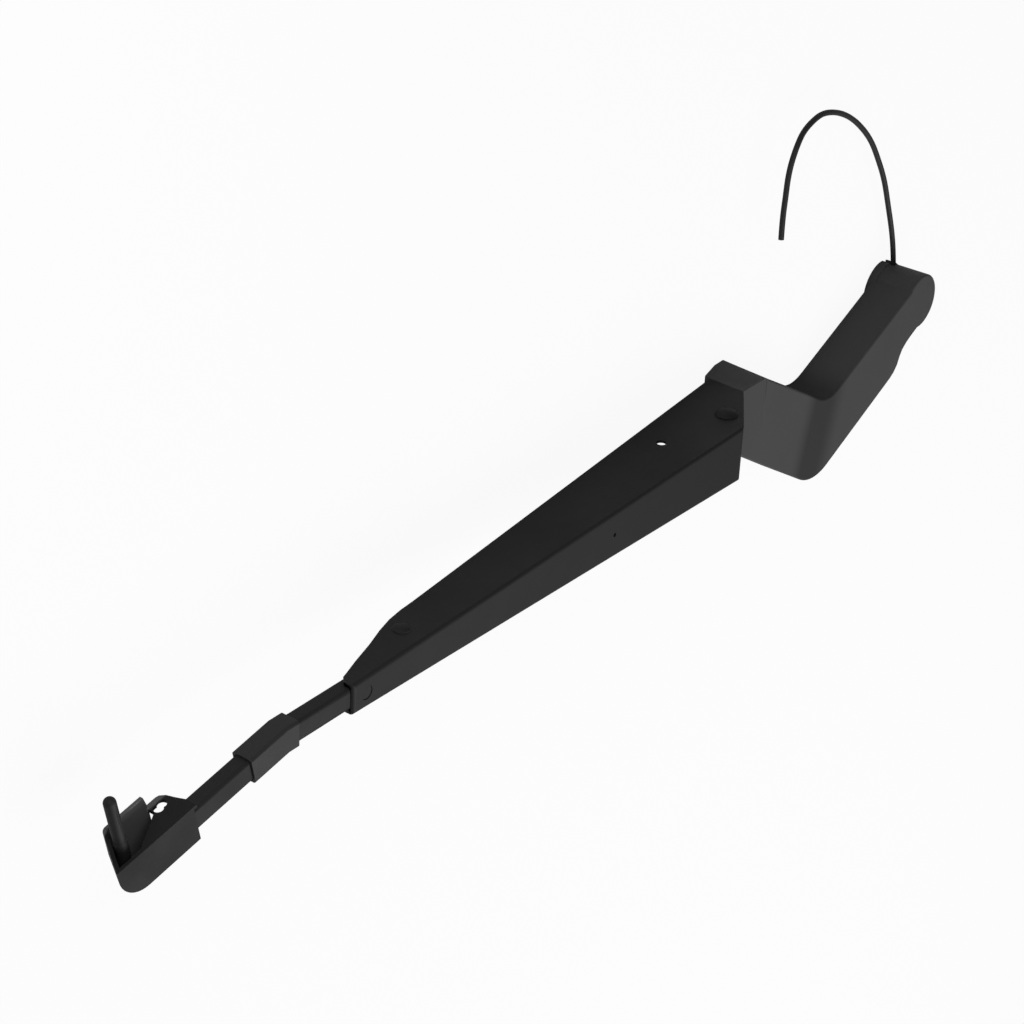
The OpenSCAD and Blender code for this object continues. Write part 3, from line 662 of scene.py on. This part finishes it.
class WIPER_OT_inner_tube(bpy.types.Operator):
    """Lay the fixed runs of the washer tube under the head and in the channel"""

    bl_idname = "wiper.inner_tube"
    bl_label = "Inner washer tube"

    def execute(self, context):
        runs = (("tube_in_head", "head_hose", "head"), ("tube_in_arm", "arm_hose", "arm"))
        for node, name, body in runs:
            piece = node_copy(node, name)
            bpy.ops.object.shade_smooth_by_angle(angle=TUBE_SMOOTH_ANGLE)
            settle(piece, body, "tube_rubber", tube_rubber(), node)
        bridge = node_copy("tube_bridge", "hinge_hose")
        split = bridge.modifiers.new("rings", "SUBSURF")
        split.subdivision_type = "SIMPLE"
        split.levels = split.render_levels = 2
        bpy.ops.object.modifier_apply(modifier=split.name)
        bpy.ops.object.shade_smooth_by_angle(angle=TUBE_SMOOTH_ANGLE)
        bridge.data.materials.clear()
        bridge.data.materials.append(tube_rubber())
        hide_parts("tube_bridge")
        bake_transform(bridge, "head", "arm", start=(0.176, 0.012, 0.003), end=(0.206, 0.014, 0.011))
        return {"FINISHED"}


class WIPER_OT_spring(bpy.types.Operator):
    """Wind the tension spring with its eye and its long rear loop"""

    bl_idname = "wiper.spring"
    bl_label = "Tension spring"

    def execute(self, context):
        # Radii of coil, wire and eye, and the pitch of the turns, all in millimetres
        coil, wire, eye, pitch = 4.6, 0.9, 4.1, 3.0
        # Room that the last turn and the rear loop leave at the tail pin
        turn_room, loop_room = 4.05, 0.9
        line = TAIL - ANCHOR
        along = line.normalized()
        upward = Vector((0, -1, 0)).cross(along).normalized()
        first = LINK_LENGTH + 2 * eye - 1
        turns = int((line.length - TAIL_PIN_RADIUS - turn_room - first) / pitch)
        last = first + turns * pitch
        loop = line.length + TAIL_PIN_RADIUS + loop_room + SPRING_TRAVEL - coil + wire

        def place(x, y, z):
            return (ANCHOR + along * x + Vector((0, y, 0)) + upward * z) * MM

        points = []
        # The eye that hooks into the link
        for step in range(15):
            turn = math.radians(150 - 24 * step)
            points.append(place(LINK_LENGTH + eye + eye * math.cos(turn), eye * math.sin(turn), 0))
        # The turns, which widen from the eye to the full coil
        for step in range(1, turns * SPRING_STEPS + 1):
            share = step / SPRING_STEPS
            turn = share * 2 * math.pi
            width = min(coil, 3.2 + step * 0.2)
            points.append(place(first + share * pitch, width * math.sin(turn),
                                width * math.cos(turn)))
        # The long loop, out past the tail pin, round and back
        points.append(place(last + 2.5, 0, coil))
        for step in range(13):
            turn = math.radians(90 - 15 * step)
            points.append(place(loop + coil * math.cos(turn), 0, coil * math.sin(turn)))
        points.append(place(last + 0.5, 0, -coil))
        curve = bpy.data.curves.new("pull_spring", "CURVE")
        curve.dimensions = "3D"
        spline = curve.splines.new("POLY")
        spline.points.add(len(points) - 1)
        for point, spot in zip(spline.points, points):
            point.co = (*spot, 1.0)
        curve.bevel_depth = wire * MM
        curve.bevel_resolution = 2
        curve.use_fill_caps = True
        spring = bpy.data.objects.new("pull_spring", curve)
        context.collection.objects.link(spring)
        only(spring)
        bpy.ops.object.convert(target="MESH")
        bpy.ops.object.shade_smooth_by_angle(angle=TUBE_SMOOTH_ANGLE)
        settle(context.object, "spring_linkage", "spring_steel", spring_steel(), "tension_spring")
        return {"FINISHED"}


class WIPER_OT_stage(bpy.types.Operator):
    """Set the pale floor, the white surroundings and the soft lamps"""

    bl_idname = "wiper.stage"
    bl_label = "Stage"

    def execute(self, context):
        bpy.ops.object.select_all(action="DESELECT")
        low = CAD_BOX[0][2] - FLOOR_DROP
        bpy.ops.mesh.primitive_plane_add(size=FLOOR_SIZE, location=(FLOOR_X, 0, low))
        floor = context.object
        floor.name = "floor"
        material = bpy.data.materials.new("Pale floor")
        material.use_nodes = True
        nodes, links = material.node_tree.nodes, material.node_tree.links
        nodes.remove(nodes["Principled BSDF"])
        matt, glow = nodes.new("ShaderNodeBsdfDiffuse"), nodes.new("ShaderNodeEmission")
        mix = nodes.new("ShaderNodeMixShader")
        rays, most = nodes.new("ShaderNodeLightPath"), nodes.new("ShaderNodeMath")
        share = nodes.new("ShaderNodeMath")
        matt.inputs["Color"].default_value = FLOOR_TONE
        glow.inputs["Color"].default_value = WHITE
        most.operation = "MAXIMUM"
        share.operation = "MULTIPLY"
        share.inputs[1].default_value = FLOOR_WHITE_SHARE
        links.new(rays.outputs["Is Camera Ray"], most.inputs[0])
        links.new(rays.outputs["Is Transmission Ray"], most.inputs[1])
        links.new(most.outputs["Value"], share.inputs[0])
        links.new(share.outputs["Value"], mix.inputs["Fac"])
        links.new(matt.outputs["BSDF"], mix.inputs[1])
        links.new(glow.outputs["Emission"], mix.inputs[2])
        links.new(mix.outputs["Shader"], nodes["Material Output"].inputs["Surface"])
        floor.data.materials.append(material)

        world = bpy.data.worlds.new("Soft room")
        context.scene.world = world
        world.use_nodes = True
        nodes, links = world.node_tree.nodes, world.node_tree.links
        room, rays = nodes["Background"], nodes.new("ShaderNodeLightPath")
        white, choose = nodes.new("ShaderNodeBackground"), nodes.new("ShaderNodeMixShader")
        room.inputs["Color"].default_value = WHITE
        room.inputs["Strength"].default_value = ROOM_LIGHT
        white.inputs["Strength"].default_value = 1.0
        links.new(rays.outputs["Is Camera Ray"], choose.inputs["Fac"])
        links.new(room.outputs["Background"], choose.inputs[1])
        links.new(white.outputs["Background"], choose.inputs[2])
        links.new(choose.outputs["Shader"], nodes["World Output"].inputs["Surface"])

        for name, place, power, size, target in LAMPS:
            data = bpy.data.lights.new(name, "AREA")
            data.energy = power
            data.size = size
            lamp = bpy.data.objects.new(name, data)
            context.collection.objects.link(lamp)
            lamp.location = place
            aim = Vector(target) - Vector(place)
            lamp.rotation_euler = aim.to_track_quat("-Z", "Y").to_euler()
        context.scene.view_settings.view_transform = "Standard"
        return {"FINISHED"}


class WIPER_PT_panel(bpy.types.Panel):
    """Lists the tones, the roundings and the steps of the wiper arm"""

    bl_idname = "WIPER_PT_panel"
    bl_label = "Wiper arm"
    bl_space_type = "VIEW_3D"
    bl_region_type = "UI"
    bl_category = "Wiper Arm"

    def draw(self, context):
        look = context.scene.wiper_looks
        for name in look.bl_rna.properties.keys():
            if name not in ("rna_type", "name"):
                self.layout.prop(look, name)
        for step in STEPS:
            self.layout.operator(step.bl_idname)


STEPS = (
    WIPER_OT_camera, WIPER_OT_free_tube, WIPER_OT_head, WIPER_OT_channel, WIPER_OT_bar,
    WIPER_OT_holder, WIPER_OT_sleeve, WIPER_OT_fasteners, WIPER_OT_inner_tube,
    WIPER_OT_spring, WIPER_OT_stage,
)
CLASSES = (WiperLooks, *STEPS, WIPER_PT_panel)


def register():
    for made in CLASSES:
        bpy.utils.register_class(made)
    bpy.types.Scene.wiper_looks = PointerProperty(type=WiperLooks)


def unregister():
    del bpy.types.Scene.wiper_looks
    for made in reversed(CLASSES):
        bpy.utils.unregister_class(made)


def main():
    register()
    for step in STEPS:
        group, name = step.bl_idname.split(".")
        getattr(getattr(bpy.ops, group), name)()


if __name__ == "__main__":
    main()
